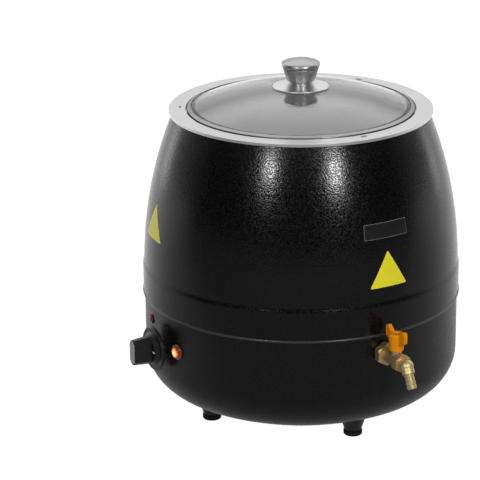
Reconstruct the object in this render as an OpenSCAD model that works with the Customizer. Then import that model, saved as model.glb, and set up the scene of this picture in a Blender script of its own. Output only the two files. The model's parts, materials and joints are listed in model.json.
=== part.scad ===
// Electric soup kettle: a wet-heat food warmer with a lift-out pot, a glass lid,
// a dial thermostat and a drain tap for the water bath.
// Origin: on the kettle's axis, at table level. +Z is up and -Y is the front.

/* [Casings] */
// Outer diameter of the lower casing
casing_d = 353.6; // [340:0.2:370]
// Thickness of the casing sheet
sheet_t = 1; // [0.8:0.1:1.4]
// Height of the flat underside above the table
base_z = 19; // [16:1:24]
// Diameter of the flat underside
base_d = 247; // [236:1:256]
// Radius of the rounded lower corner
bowl_corner_r = 44.5; // [38:0.5:50]
// Slope of the dished underside, in degrees
bowl_slope = 24.5; // [20:0.5:28]
// Height of the seam between the two casings
seam_z = 140; // [136:1:150]
// Height of the proud band above the seam
band_h = 30; // [24:1:40]
// Height of the slope from the band to the curve above it
slope_h = 9; // [6:0.5:12]
// How far the band stands out past the curve above it
band_step = 1.3; // [0.8:0.1:2]
// Gap between the band and the lower casing inside it
band_gap = 0.5; // [0.2:0.1:1]
// Height at which the lower casing's edge ends, measured above the seam
lap_h = 12; // [8:1:16]
// Radius of the long curve of the upper casing
shoulder_r = 460; // [440:5:500]
// Height of the upper casing's rim
casing_top_z = 346.5; // [340:0.5:352]
// Width of the rim that is turned inwards
rim_w = 5.5; // [4:0.5:6]
// Width of the pry slot in the seam
pry_slot_w = 14; // [10:1:20]
// Angle of the pry slot round the kettle
pry_slot_angle = 219; // [214:1:224]

/* [Water bath] */
// Radial play between the bath and the casing's rim
bath_play = 1.45; // [1:0.05:2.5]
// Thickness of the bath sheet
bath_t = 1; // [0.8:0.1:1.2]
// Height of the bath's floor, inside
bath_floor_z = 100; // [98:1:104]
// Radius of the bath's lower corner
bath_corner_r = 9; // [6:1:9]
// Width of the bath's flange
bath_flange_w = 10; // [9:0.5:11]

/* [Pot] */
// Width of the space for water between the pot and the bath's wall
water_gap = 12; // [9:0.5:14]
// Thickness of the pot sheet
pot_t = 1; // [0.8:0.1:1.2]
// Depth of the pot below the lid's ledge
pot_depth = 223; // [210:1:228]
// Radius of the pot's lower corner
pot_corner_r = 18; // [12:1:24]
// Width of the ledge that the lid rests on
ledge_w = 7.5; // [6:0.5:9]
// Depth of that recess
recess_h = 5; // [4:0.5:6]
// Width of the pot's flange outside that recess
ring_w = 18.6; // [17.6:0.2:20]
// Height of the flange's turned-down edge
ring_lip_h = 3; // [2:0.5:3.5]
// Vertical gap between a lifted-out piece and its seat
seat_gap = 0.3; // [0.2:0.05:0.4]

/* [Lid] */
// Radial play of the lid in its recess
lid_play = 1.8; // [1.4:0.1:2.2]
// Thickness of the glass
glass_t = 4; // [3:0.5:5]
// Rise of the glass dome
dome_h = 24.5; // [20:0.5:27]
// Thickness of the band's sheet
lid_band_t = 0.8; // [0.6:0.1:1]
// Width of the band seen from above
lid_band_w = 4; // [3:0.5:5]
// Diameter of the escutcheon under the knob
escutcheon_d = 62; // [56:1:66]
// Diameter of the knob's neck
neck_d = 26; // [22:1:28]
// Height of the neck
neck_h = 4.6; // [3.5:0.1:5.5]
// Diameter of the knob's cone at its foot
cone_foot_d = 31; // [28:1:33]
// Diameter of the knob's cone at its top
cone_top_d = 40; // [37:0.5:42]
// Height of the cone
cone_h = 15.4; // [12:0.2:18]
// Diameter of the knob's cap
cap_d = 42.6; // [42.4:0.2:46]
// Height of the cap
cap_h = 8.9; // [7.5:0.1:10]
// Diameter of the knob's screw
lid_screw_d = 5; // [4:0.5:6]

/* [Feet] */
// Distance of the feet's centres inside the edge of the flat underside
foot_inset = 7.6; // [6:0.2:12]
// Number of feet
foot_count = 4; // [3:1:5]
// Diameter of a foot's stem at the casing
foot_top_d = 30; // [26:1:34]
// Diameter of a foot's stem at its lower end
foot_low_d = 18.5; // [17:0.5:21]
// Diameter of a rubber pad
pad_d = 21; // [19:0.5:24]
// Height of a rubber pad
pad_h = 5; // [4:0.5:6]
// Diameter of a foot's screw
foot_screw_d = 5; // [4:0.5:6]

/* [Thermostat] */
// Angle of the thermostat round the kettle
dial_angle = 210; // [206:1:214]
// Height of the thermostat's axis
dial_z = 98.5; // [95:0.5:102]
// Distance from the casing to the back of the dial
dial_standoff = 8.7; // [7.5:0.1:11]
// Diameter of the dial
dial_d = 50; // [44:1:54]
// Height of the grip above the dial's back
grip_h = 28; // [24:1:32]
// Width of the grip's bar at its end
grip_w = 13; // [11:0.5:15]
// Length of the grip's bar at its end
grip_len = 28.5; // [25:0.5:32]
// Diameter of the thermostat's spindle
spindle_d = 6; // [5:0.5:6.5]
// Width of the thermostat's housing
thermo_w = 38; // [34:1:40]
// Depth of the thermostat's housing
thermo_h = 26; // [22:1:28]

/* [Lamps] */
// Angle of the amber heating lamp
amber_angle = 220.4; // [219.4:0.2:224]
// Height of the amber lamp
amber_z = 102.6; // [98:0.2:108]
// Diameter of the amber lens
amber_d = 12; // [10:0.5:13]
// Angle of the small red lamp
red_angle = 200.4; // [196:0.2:201]
// Height of the red lamp
red_z = 121; // [118:0.5:126]
// Diameter of the red lens
red_d = 7; // [6:0.5:8]
// Width of a lamp's bezel round its lens
bezel_w = 1.5; // [1:0.1:2]
// Depth of a lamp behind the casing
lamp_depth = 15; // [12:1:18]

/* [Tap] */
// Angle of the tap round the kettle
tap_angle = 300; // [296:1:304]
// Height of the tap's axis
tap_z = 119; // [116:0.5:123]
// Width of the lock nut across its flats
nut_af = 22.5; // [20:0.5:24]
// Thickness of the lock nut
nut_t = 8; // [6:0.5:9]
// Diameter of the tap's threaded inlet
inlet_d = 13; // [12:0.5:14]
// Diameter of the tap's barrel
barrel_d = 16; // [15:0.5:17]
// Width of the outlet boss across its flats
boss_af = 18; // [17.5:0.5:20]
// Length of the outlet boss
boss_len = 9; // [8:0.5:11]
// Distance from the nut to the ball's centre
ball_offset = 16.5; // [15:0.5:19]
// Diameter of the valve ball
ball_d = 11; // [10.5:0.1:11.4]
// Diameter of the water way
water_way_d = 6; // [5:0.5:6.5]
// Diameter of the valve stem
stem_d = 5; // [4:0.5:5.5]
// Height of the neck's top above the tap's axis
neck_top_h = 11.5; // [11:0.5:13]
// Diameter of the handle's hub
hub_d = 17; // [15:0.5:18]
// Height of the handle's hub
hub_h = 18.5; // [16:0.5:20]
// Reach of a handle wing from the stem's axis
wing_reach = 18; // [15:0.5:19]
// Thickness of a handle wing
wing_t = 4.5; // [3.5:0.5:6]
// Distance from the boss to the elbow's corner
elbow_offset = 7; // [6.5:0.5:9]
// Outer diameter of the elbow
elbow_d = 14; // [12:0.5:14]
// Diameter of the bore through the hose tail
tail_bore_d = 5.4; // [4.5:0.1:5.8]
// Slope of the hose tail below level, in degrees
tail_slope = 62; // [45:1:70]
// Length of the hose tail from the elbow's corner
tail_len = 25; // [22:0.5:30]
// Diameter of the hose tail's barbs
barb_d = 11; // [10:0.2:12]
// Number of barbs
barb_count = 4; // [3:1:5]

/* [Heater and wiring] */
// Diameter of the heat spreading plate
plate_d = 180; // [160:1:184]
// Thickness of the plate
plate_t = 5; // [4:0.5:6]
// Diameter of the sheathed heating element
element_d = 8; // [7:0.5:9]
// Radius of the element's ring
element_r = 70; // [60:1:76]
// Distance of the tie studs outside the service opening
stud_margin = 18; // [15:0.5:19]
// Diameter of a tie stud
stud_d = 5; // [4:0.5:6]
// Diameter of the service opening in the base
service_d = 176; // [160:1:180]
// Diameter of the lead that the gland takes
lead_d = 8; // [6:0.5:9]
// Angle of the cable gland round the kettle
gland_angle = 90; // [80:1:100]
// Height of the cable gland
gland_z = 90; // [86:1:100]

/* [Hidden] */
$fn = 96;
turn_gap = 0.06;
fit_gap = 0.2;
glass_gap = 0.1;
eps = 0.01;

casing_r = casing_d / 2;
base_r = base_d / 2;
band_r_in = casing_r + band_gap;
band_r = band_r_in + sheet_t;
band_top_z = seam_z + band_h;
slope_top_z = band_top_z + slope_h;
belly_r = band_r - band_step;
belly_z = band_top_z - 2;
hip_r = belly_r - shoulder_r + sqrt(pow(shoulder_r, 2) - pow(slope_top_z - belly_z, 2));
slope_angle = 2 * atan((band_r - hip_r) / slope_h);
slope_r = slope_h / (2 * sin(slope_angle));
lip_round_r = 0.8;
pry_slot_h = 1.5;
bowl_end_r = casing_r - bowl_corner_r * (1 - sin(bowl_slope));
bowl_end_z = base_z + (bowl_end_r - base_r) * tan(bowl_slope);
bowl_top_z = bowl_end_z + bowl_corner_r * cos(bowl_slope);
rim_r = belly_r - shoulder_r + sqrt(pow(shoulder_r, 2) - pow(casing_top_z - belly_z, 2));

bath_r_out = rim_r - rim_w - bath_play;
bath_r = bath_r_out - bath_t;
bath_under_z = bath_floor_z - bath_t;
bath_flange_top_z = casing_top_z + bath_t;

ring_z = bath_flange_top_z + seat_gap + pot_t;
pot_r = bath_r - water_gap - pot_t;
recess_r = pot_r + ledge_w;
ring_r = recess_r + ring_w;
ledge_z = ring_z - recess_h;
pot_floor_z = ledge_z - pot_depth;

lid_r = recess_r - lid_play;
lid_z = ledge_z + seat_gap;
glass_r = lid_r - lid_band_t;
glass_edge_z = lid_z + lid_band_t;
dome_r = (pow(glass_r, 2) + pow(dome_h, 2)) / (2 * dome_h);
glass_top_z = glass_edge_z + dome_h + glass_t;
escutcheon_drop = 1.2;
knob_z = glass_top_z + 1.6;
cone_z = knob_z + neck_h;
cap_z = cone_z + cone_h;
cap_top_z = cap_z + cap_h;

foot_pitch_r = base_r - foot_inset;
foot_angles = [for (i = [0 : foot_count - 1]) 30 + i * 360 / foot_count];
foot_recess_d = 12;
foot_recess_h = 3;
foot_screw_len = 10;
foot_screw_head_h = 3;

stud_pitch_r = service_d / 2 + stud_margin;
stud_angles = [for (i = [0 : 3]) 75 + i * 90];
stud_end_h = 7;
tie_nut_t = 4;
tie_nut_af = 8;

dial_x = casing_r + dial_standoff;
dial_t = 4;
insert_t = 0.8;
thermo_front_x = casing_r - sheet_t - 3.8;
thermo_back_x = thermo_front_x - thermo_h;
bush_end_x = casing_r + 5;
capillary_drop = 10;
capillary_z = dial_z - capillary_drop;
capillary_d = 2;
bulb_angle = dial_angle + 34;
bulb_rise = 12;
bulb_z = bath_floor_z + bulb_rise;
bulb_d = 6;
bulb_len = 90;
clip_w = 10;
clip_span = 20;
clip_t = 1.3;
clip_inset = 15;
clip_gap = 0.15;
bulb_r = bath_r_out + bulb_d / 2 + glass_gap;
bush_d = 9;
thermo_nut_t = 3;

tap_gasket_t = 1.5;
nut_x = casing_r + fit_gap + tap_gasket_t;
barrel_x = nut_x + nut_t;
ball_x = barrel_x + ball_offset;
boss_x = ball_x + 4.5;
boss_end_x = boss_x + boss_len;
elbow_x = boss_end_x + elbow_offset;
inlet_x = casing_r - 24;
stub_end_x = casing_r - 8;
stub_bore_d = inlet_d + fit_gap;
stem_top_h = neck_top_h + 8;
tongue_z = water_way_d / 2 + 0.4;
screw_shank_d = 3;
chamber_d = ball_d + 1.4;
chamber_x = ball_x - 7.5;
seat_t = 3;
stub_d = inlet_d + 5;
handle_z = neck_top_h + 0.5;
wing_rise = 5.5;

gland_thread_d = lead_d + 8;
gland_nut_t = 4.7;
gland_hex_t = 5;

cover_rim_w = 8;
cover_screw_d = 4;
cover_screw_len = 6;
cover_screw_head_h = 2;
cover_screw_r = service_d / 2 + cover_rim_w / 2;
cover_screw_angles = [for (i = [0 : 3]) 52.5 + i * 90];
vent_len = 44;
vent_w = 4;
vent_pitch = 14;
vent_spacing = 64;

plate_top_z = bath_under_z;
plate_z = plate_top_z - plate_t;
element_z = plate_z - element_d / 2 + 2;
clamp_t = 1.5;
clamp_w = 14;
clamp_overhang = 8;
cold_end_len = 18;
terminal_pin_len = 8;
terminal_pin_d = 3;

cutout_d = 16;
cutout_h = 9;
cutout_angle = 150;
cutout_r = bath_r_out - bath_t - bath_corner_r - 12;
block_size = [22, 44, 15];
block_r = 56;
pole_pitch = 14;
earth_stud_r = 60;
earth_stud_angle = gland_angle + 34;

steel = "#c9cacb";
dark_steel = "#77797c";
black_coat = "#17181a";
black_plastic = "#1f2022";
rubber = "#0f0f10";
brass = "#b99a4e";

// Points of an arc round [cx, cy], from angle a0 to angle a1.
function arc(cx, cy, r, a0, a1, n = 16) =
    [for (i = [0 : n]) [cx + r * cos(a0 + (a1 - a0) * i / n), cy + r * sin(a0 + (a1 - a0) * i / n)]];

// Places children at an angle round the kettle: local X points outwards and Z up.
module round_kettle(angle, r = 0, z = 0) {
    rotate([0, 0, angle]) translate([r, 0, z]) children();
}

// A cylinder along local X, from x0 to x1.
module along_x(x0, x1, d) {
    translate([x0, 0, 0]) rotate([0, 90, 0]) cylinder(d = d, h = x1 - x0);
}

// A cone along local X, from diameter d0 at x0 to d1 at x1.
module cone_x(x0, x1, d0, d1) {
    translate([x0, 0, 0]) rotate([0, 90, 0]) cylinder(d1 = d0, d2 = d1, h = x1 - x0);
}

// A hexagonal prism along local X, with a corner pointing up.
module hex_x(x0, x1, af) {
    translate([x0, 0, 0]) rotate([0, 90, 0]) cylinder(d = af / cos(30), h = x1 - x0, $fn = 6);
}

// A hexagon nut or head that stands on z = 0, chamfered at its top.
module hex_nut(af, h, hole) {
    difference() {
        intersection() {
            cylinder(d = af / cos(30), h = h, $fn = 6);
            cylinder(d1 = af / cos(30) + 2 * h, d2 = af * 0.98, h = h + eps);
        }
        if (hole > 0) translate([0, 0, -1]) cylinder(d = hole, h = h + 2);
    }
}

// ---- Casings ----

// Outline of the lower casing's form, set in by a wall thickness.
module bowl_section(inset, top_z) {
    slope_in_r = base_r - inset * tan(bowl_slope / 2);
    corner = arc(casing_r - bowl_corner_r, bowl_top_z, bowl_corner_r - inset, bowl_slope - 90, 0, 12);
    polygon(concat([[0, base_z + inset], [slope_in_r, base_z + inset]], corner,
        [[casing_r - inset, top_z], [0, top_z]]));
}

// Outline of the upper casing's form, set in by a wall thickness: a band, a soft slope and the long curve.
module barrel_section(inset, bottom_z, top_z) {
    low_angle = asin((slope_top_z + 1 - belly_z) / shoulder_r);
    high_angle = asin((casing_top_z - inset - belly_z) / shoulder_r);
    lip = arc(band_r - inset - lip_round_r, bottom_z + lip_round_r, lip_round_r, -90, 0, 4);
    band_end = arc(band_r - slope_r, band_top_z, slope_r - inset, 0, slope_angle, 6);
    hip = arc(hip_r + slope_r, slope_top_z, slope_r + inset, 180 + slope_angle, 180, 6);
    curve = arc(belly_r - shoulder_r, belly_z, shoulder_r - inset, low_angle, high_angle, 20);
    hip_start = [for (i = [1 : 6]) hip[i]];
    polygon(concat([[0, bottom_z]], lip, band_end, hip_start, curve, [[curve[20][0], top_z], [0, top_z]]));
}

module upper_casing() {
    color(black_coat) difference() {
        rotate_extrude() difference() {
            barrel_section(0, seam_z, casing_top_z);
            barrel_section(sheet_t, seam_z - 1, casing_top_z - sheet_t);
            translate([0, seam_z]) square([rim_r - rim_w, casing_top_z]);
        }
        round_kettle(pry_slot_angle, casing_r, seam_z) cube([8, pry_slot_w, 2 * pry_slot_h], center = true);
    }
}

module lower_casing() {
    color(black_coat) difference() {
        rotate_extrude() difference() {
            bowl_section(0, seam_z + lap_h);
            bowl_section(sheet_t, seam_z + lap_h + 1);
            square([service_d / 2, base_z * 2]);
        }
        wall_hole(tap_angle, tap_z, inlet_d);
        wall_hole(dial_angle, dial_z, bush_d);
        wall_hole(amber_angle, amber_z, amber_d);
        wall_hole(red_angle, red_z, red_d);
        wall_hole(gland_angle, gland_z, gland_thread_d);
        for (a = foot_angles) round_kettle(a, foot_pitch_r) base_hole(foot_screw_d);
        for (a = stud_angles) round_kettle(a, stud_pitch_r) base_hole(stud_d);
        for (a = cover_screw_angles) round_kettle(a, cover_screw_r) base_hole(cover_screw_d);
    }
}

// A round hole through the casing's wall, for a piece of the given diameter.
module wall_hole(angle, z, piece_d) {
    round_kettle(angle, 0, z) along_x(casing_r - 10, casing_r + 10, piece_d + 2 * fit_gap);
}

// A round hole through the casing's flat base.
module base_hole(piece_d) {
    translate([0, 0, base_z - 1]) cylinder(d = piece_d + 2 * fit_gap, h = sheet_t + 2);
}

module bottom_cover() {
    cover_z = base_z + sheet_t;
    color(dark_steel) difference() {
        translate([0, 0, cover_z]) cylinder(d = service_d + 2 * cover_rim_w, h = sheet_t);
        for (a = cover_screw_angles) round_kettle(a, cover_screw_r, cover_z - 1)
            cylinder(d = cover_screw_d + 2 * fit_gap, h = sheet_t + 2);
        for (row = [-2 : 2], side = [-1, 1])
            translate([side * vent_spacing / 2, row * vent_pitch, cover_z])
                cube([vent_len, vent_w, 2 * sheet_t + 2], center = true);
    }
}

module cover_screws() {
    color(steel) for (a = cover_screw_angles) round_kettle(a, cover_screw_r, base_z) {
        translate([0, 0, -cover_screw_head_h]) cylinder(d = cover_screw_d * 1.75, h = cover_screw_head_h);
        cylinder(d = cover_screw_d, h = cover_screw_len);
    }
}

// ---- Water bath ----

// Outline of a vessel's form with a rounded lower corner, set in by a wall thickness.
module vessel_section(r, floor_z, corner_r, top_z) {
    polygon(concat([[0, floor_z]], arc(r - corner_r, floor_z + corner_r, corner_r, -90, 0, 8),
        [[r, top_z], [0, top_z]]));
}

module water_bath() {
    color(steel) difference() {
        rotate_extrude() {
            difference() {
                vessel_section(bath_r_out, bath_under_z, bath_corner_r + bath_t, bath_flange_top_z);
                vessel_section(bath_r, bath_floor_z, bath_corner_r, bath_flange_top_z + 1);
            }
            translate([bath_r, casing_top_z]) square([bath_flange_w, bath_t]);
        }
        round_kettle(tap_angle, 0, tap_z) along_x(bath_r - 5, bath_r + 5, stub_bore_d);
    }
}

module tie_studs() {
    color(steel) for (a = stud_angles) round_kettle(a, stud_pitch_r, base_z - stud_end_h)
        cylinder(d = stud_d, h = bath_under_z - base_z + stud_end_h);
}

module tie_nuts() {
    color(steel) for (a = stud_angles) round_kettle(a, stud_pitch_r, base_z - tie_nut_t)
        hex_nut(tie_nut_af, tie_nut_t, stud_d + fit_gap);
}

// ---- Feet ----

module foot_stems() {
    color(black_plastic) difference() {
        for (a = foot_angles) round_kettle(a, foot_pitch_r, pad_h)
            cylinder(d1 = foot_low_d, d2 = foot_top_d + 2, h = base_z + 2);
        bowl_solid();
        for (a = foot_angles) round_kettle(a, foot_pitch_r, pad_h) {
            translate([0, 0, -1]) cylinder(d = foot_recess_d, h = foot_recess_h + 1);
            translate([0, 0, foot_recess_h + 1]) cylinder(d = foot_screw_d + fit_gap, h = base_z);
        }
    }
}

// The lower casing's outer form as a solid, which copes what stands against it.
module bowl_solid() {
    rotate_extrude() bowl_section(0, bowl_top_z);
}

module foot_pads() {
    color(rubber) for (a = foot_angles) round_kettle(a, foot_pitch_r) {
        cylinder(d1 = pad_d - 1.5, d2 = pad_d, h = 1);
        translate([0, 0, 1]) cylinder(d = pad_d, h = pad_h - 1);
        translate([0, 0, pad_h]) cylinder(d = foot_recess_d - 2 * fit_gap, h = foot_recess_h - fit_gap);
    }
}

module foot_screws() {
    head_z = base_z + sheet_t;
    color(steel) for (a = foot_angles) round_kettle(a, foot_pitch_r) {
        translate([0, 0, head_z]) cylinder(d = foot_screw_d * 1.8, h = foot_screw_head_h);
        translate([0, 0, head_z - foot_screw_len]) cylinder(d = foot_screw_d, h = foot_screw_len);
    }
}

// ---- Drain and tap ----

module drain_stub() {
    color(steel) difference() {
        round_kettle(tap_angle, 0, tap_z) along_x(bath_r - 2, stub_end_x, stub_d);
        cylinder(r = bath_r_out, h = 2 * tap_z);
        round_kettle(tap_angle, 0, tap_z) along_x(bath_r - 5, stub_end_x + 1, stub_bore_d);
    }
}

module tap_gasket() {
    color(rubber) round_kettle(tap_angle, 0, tap_z) difference() {
        along_x(casing_r + fit_gap, nut_x, nut_af + 1);
        along_x(casing_r - 1, nut_x + 1, inlet_d + fit_gap);
    }
}

module tap_nut() {
    chamfer = 1.6;
    corner_d = nut_af / cos(30);
    color(brass) round_kettle(tap_angle, 0, tap_z) difference() {
        intersection() {
            hex_x(nut_x, barrel_x, nut_af);
            union() {
                along_x(nut_x, barrel_x - chamfer, corner_d + 1);
                cone_x(barrel_x - chamfer, barrel_x, corner_d + 1, corner_d + 1 - 2.6 * chamfer);
            }
        }
        along_x(nut_x - 1, barrel_x + 1, inlet_d + fit_gap);
    }
}

module tap_body() {
    color(brass) round_kettle(tap_angle, 0, tap_z) difference() {
        union() {
            along_x(inlet_x, barrel_x, inlet_d);
            along_x(barrel_x, boss_x, barrel_d);
            hex_x(boss_x, boss_end_x, boss_af);
            translate([ball_x, 0, 0]) cylinder(d = stem_d + 6, h = neck_top_h);
        }
        along_x(inlet_x - 1, ball_x, water_way_d);
        along_x(chamber_x, boss_end_x + 1, chamber_d);
        translate([ball_x, 0, 0]) cylinder(d = stem_d + 2 * turn_gap, h = neck_top_h + 1);
    }
}

module tap_seats() {
    color("white") round_kettle(tap_angle, 0, tap_z) difference() {
        union() {
            along_x(chamber_x, chamber_x + seat_t, chamber_d - 2 * turn_gap);
            along_x(2 * ball_x - chamber_x - seat_t, 2 * ball_x - chamber_x, chamber_d - 2 * turn_gap);
        }
        along_x(chamber_x - 1, boss_end_x, water_way_d);
        translate([ball_x, 0, 0]) sphere(d = ball_d + 2 * turn_gap);
    }
}

module tap_ball() {
    color(steel) round_kettle(tap_angle, 0, tap_z) translate([ball_x, 0, 0]) difference() {
        sphere(d = ball_d);
        along_x(-ball_d, ball_d, water_way_d);
        translate([-ball_d, -0.9, tongue_z]) cube([2 * ball_d, 1.8, ball_d]);
    }
}

module tap_stem() {
    color(brass) round_kettle(tap_angle, 0, tap_z) translate([ball_x, 0, 0]) {
        intersection() {
            translate([-ball_d, -0.8, tongue_z]) cube([2 * ball_d, 1.6, ball_d / 2 - tongue_z + 0.4]);
            cylinder(d = stem_d, h = ball_d);
        }
        translate([0, 0, ball_d / 2 + 0.3]) cylinder(d = stem_d, h = stem_top_h - ball_d / 2 - 0.3);
    }
}

module tap_handle() {
    wing = [[0, 3], [hub_d / 2 - 0.5, 6], [wing_reach - 2.5, 10.5], [wing_reach - 0.5, 12],
        [wing_reach, hub_h + wing_rise - 4], [wing_reach - 1, hub_h + wing_rise - 1],
        [wing_reach - 4, hub_h + wing_rise], [hub_d / 2 - 1, hub_h], [0, hub_h]];
    color("darkorange") round_kettle(tap_angle, ball_x, tap_z + handle_z) difference() {
        union() {
            cylinder(d1 = hub_d - 1.5, d2 = hub_d, h = hub_h - 2);
            translate([0, 0, hub_h - 2]) cylinder(d1 = hub_d, d2 = hub_d - 3, h = 2);
            for (side = [0, 180]) rotate([90, 0, side]) translate([0, 0, -wing_t / 2])
                linear_extrude(wing_t) polygon(wing);
        }
        translate([0, 0, -1]) cylinder(d = stem_d + fit_gap, h = stem_top_h - handle_z + 1 + fit_gap);
        cylinder(d = screw_shank_d + fit_gap, h = hub_h * 2);
        translate([0, 0, hub_h - 4]) cylinder(d = 8, h = 8);
    }
}

module handle_screw() {
    color(steel) round_kettle(tap_angle, ball_x, tap_z + handle_z + hub_h - 4) {
        difference() {
            cylinder(d = 7, h = 2.4);
            translate([-4, -0.5, 1.4]) cube([8, 1, 2]);
        }
        translate([0, 0, -(hub_h - 4 - stem_top_h + handle_z)])
            cylinder(d = screw_shank_d, h = hub_h - 4 - stem_top_h + handle_z);
    }
}

module hose_tail() {
    tail_r = barb_d / 2 - 1;
    first_barb = elbow_d / 2 + 2;
    pitch = (tail_len - first_barb) / barb_count;
    color(brass) round_kettle(tap_angle, 0, tap_z) difference() {
        union() {
            along_x(2 * ball_x - chamber_x, boss_end_x + 1, chamber_d - 2 * fit_gap);
            along_x(boss_end_x, elbow_x, elbow_d);
            translate([elbow_x, 0, 0]) sphere(d = elbow_d + 0.8);
            translate([elbow_x, 0, 0]) rotate([0, 90 + tail_slope, 0]) {
                cylinder(d = elbow_d, h = elbow_d / 2 + 1.5);
                cylinder(r = tail_r, h = tail_len);
                for (i = [0 : barb_count - 1]) translate([0, 0, first_barb + i * pitch])
                    cylinder(d1 = barb_d, d2 = barb_d - 1.6, h = pitch - 0.3);
            }
        }
        along_x(ball_x, elbow_x + 2, water_way_d);
        translate([elbow_x, 0, 0]) rotate([0, 90 + tail_slope, 0])
            cylinder(d = tail_bore_d, h = tail_len + 1);
    }
}

// ---- Heater ----

module heater_plate() {
    color("silver") difference() {
        translate([0, 0, plate_z]) cylinder(d = plate_d, h = plate_t);
        rotate_extrude() translate([element_r, element_z]) circle(d = element_d + 2 * fit_gap);
        translate([0, 0, plate_z - 1]) cylinder(d = 8, h = plate_t + 2);
    }
}

module heating_element() {
    end_a = 14;
    color(dark_steel) {
        rotate([0, 0, gland_angle + end_a]) rotate_extrude(angle = 360 - 2 * end_a)
            translate([element_r, element_z]) circle(d = element_d);
        for (side = [-1, 1]) rotate([0, 0, gland_angle + side * end_a]) translate([element_r, 0, element_z]) {
            sphere(d = element_d + 0.4);
            translate([0, 0, -cold_end_len]) cylinder(d = element_d, h = cold_end_len);
            translate([0, 0, -cold_end_len - terminal_pin_len])
                cylinder(d = terminal_pin_d, h = terminal_pin_len + 1);
        }
    }
}

module heater_clamp() {
    clamp_z = element_z - element_d / 2 - clamp_t;
    color(steel) difference() {
        for (a = [0, 60, 120]) rotate([0, 0, gland_angle + 30 + a])
            translate([-element_r - clamp_overhang, -clamp_w / 2, clamp_z])
                cube([2 * (element_r + clamp_overhang), clamp_w, clamp_t]);
        translate([0, 0, clamp_z - 1]) cylinder(d = 6.4, h = clamp_t + 2);
    }
}

module heater_nut() {
    clamp_z = element_z - element_d / 2 - clamp_t;
    color(steel) {
        translate([0, 0, clamp_z - 5]) hex_nut(10, 5, 0);
        translate([0, 0, clamp_z]) cylinder(d = 6, h = bath_under_z - clamp_z);
    }
}

// ---- Thermostat and controls ----

module thermostat_body() {
    color("dimgray") round_kettle(dial_angle, 0, dial_z) difference() {
        union() {
            translate([thermo_back_x, -thermo_w / 2, -thermo_w / 2]) cube([thermo_h, thermo_w, thermo_w]);
            along_x(thermo_front_x, bush_end_x, bush_d);
        }
        along_x(thermo_back_x + 6, bush_end_x + 1, spindle_d + 2 * turn_gap);
    }
}

module thermostat_bracket() {
    color(steel) round_kettle(dial_angle, 0, dial_z) difference() {
        union() {
            translate([thermo_front_x, -thermo_w / 2 - 3, -thermo_w / 2])
                cube([1.5, thermo_w + 6, thermo_w]);
            along_x(thermo_front_x, casing_r - sheet_t - 0.3, bush_d + 6);
        }
        along_x(thermo_front_x - 1, casing_r, bush_d + 2 * fit_gap);
    }
}

module thermostat_nut() {
    color(dark_steel) round_kettle(dial_angle, 0, dial_z) difference() {
        hex_x(casing_r + fit_gap, casing_r + fit_gap + thermo_nut_t, bush_d + 4);
        along_x(casing_r - 1, casing_r + 5, bush_d + 2 * fit_gap);
    }
}

// Thin tube from the thermostat's back round the bath to its sensing bulb.
module capillary() {
    color("peru") {
        rotate([0, 0, bulb_angle]) rotate_extrude(angle = dial_angle - bulb_angle)
            translate([bulb_r, capillary_z]) circle(d = capillary_d);
        round_kettle(dial_angle, bulb_r, capillary_z) sphere(d = capillary_d + 0.4);
        round_kettle(dial_angle, 0, capillary_z) along_x(bulb_r, thermo_back_x, capillary_d);
        round_kettle(bulb_angle, bulb_r, capillary_z) sphere(d = capillary_d + 0.4);
        round_kettle(bulb_angle, bulb_r, capillary_z) cylinder(d = capillary_d, h = bulb_z - capillary_z);
    }
}

module sensor_bulb() {
    color("peru") round_kettle(bulb_angle, bulb_r, bulb_z) cylinder(d = bulb_d, h = bulb_len);
}

// Two straps that hold the bulb against the bath's wall.
module bulb_clip() {
    color(steel) difference() {
        for (h = [clip_inset, bulb_len - clip_inset - clip_w]) round_kettle(bulb_angle, 0, bulb_z + h) {
            translate([bulb_r, 0, 0]) cylinder(d = bulb_d + 2 * clip_t, h = clip_w);
            translate([bath_r_out - 2, -clip_span / 2, 0]) cube([3, clip_span, clip_w]);
        }
        round_kettle(bulb_angle, bulb_r, bulb_z) cylinder(d = bulb_d + 2 * fit_gap, h = bulb_len);
        translate([0, 0, bath_floor_z]) cylinder(r = bath_r_out + clip_gap, h = 2 * bulb_len, $fn = 360);
    }
}

module thermal_cutout() {
    color("black") round_kettle(cutout_angle, cutout_r, bath_under_z) {
        translate([0, 0, -cutout_h]) cylinder(d = cutout_d, h = cutout_h);
        for (side = [-1, 1]) translate([side * cutout_d / 4 - 0.4, -3, -cutout_h - 8]) cube([0.8, 6, 8]);
    }
}

module terminal_block() {
    wire_z = block_size[2] / 2;
    color("ivory") round_kettle(gland_angle, block_r, base_z + 2 * sheet_t) difference() {
        translate([-block_size[0] / 2, -block_size[1] / 2, 0]) cube(block_size);
        for (i = [-1 : 1]) translate([0, i * pole_pitch, wire_z]) {
            translate([-block_size[0], 0, 0]) rotate([0, 90, 0]) cylinder(d = 4, h = 2 * block_size[0]);
            cylinder(d = 4.5, h = block_size[2]);
        }
    }
}

module earth_stud() {
    color(brass) round_kettle(earth_stud_angle, earth_stud_r, base_z + 2 * sheet_t) {
        cylinder(d = 4, h = 14);
        hex_nut(7, 3, 0);
        translate([0, 0, 4]) hex_nut(7, 3, 0);
    }
}

module cable_gland() {
    bore = lead_d + 2 * fit_gap;
    hex_start_x = casing_r + fit_gap;
    hex_end_x = hex_start_x + gland_hex_t;
    color(black_plastic) round_kettle(gland_angle, 0, gland_z) difference() {
        union() {
            along_x(casing_r - sheet_t - 9, hex_start_x, gland_thread_d);
            hex_x(hex_start_x, hex_end_x, gland_thread_d + 3);
            along_x(hex_end_x, casing_r + 13, gland_thread_d + 2);
            cone_x(casing_r + 13, casing_r + 18, gland_thread_d + 2, bore + 3);
        }
        along_x(casing_r - 12, casing_r + 20, bore);
    }
}

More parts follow.
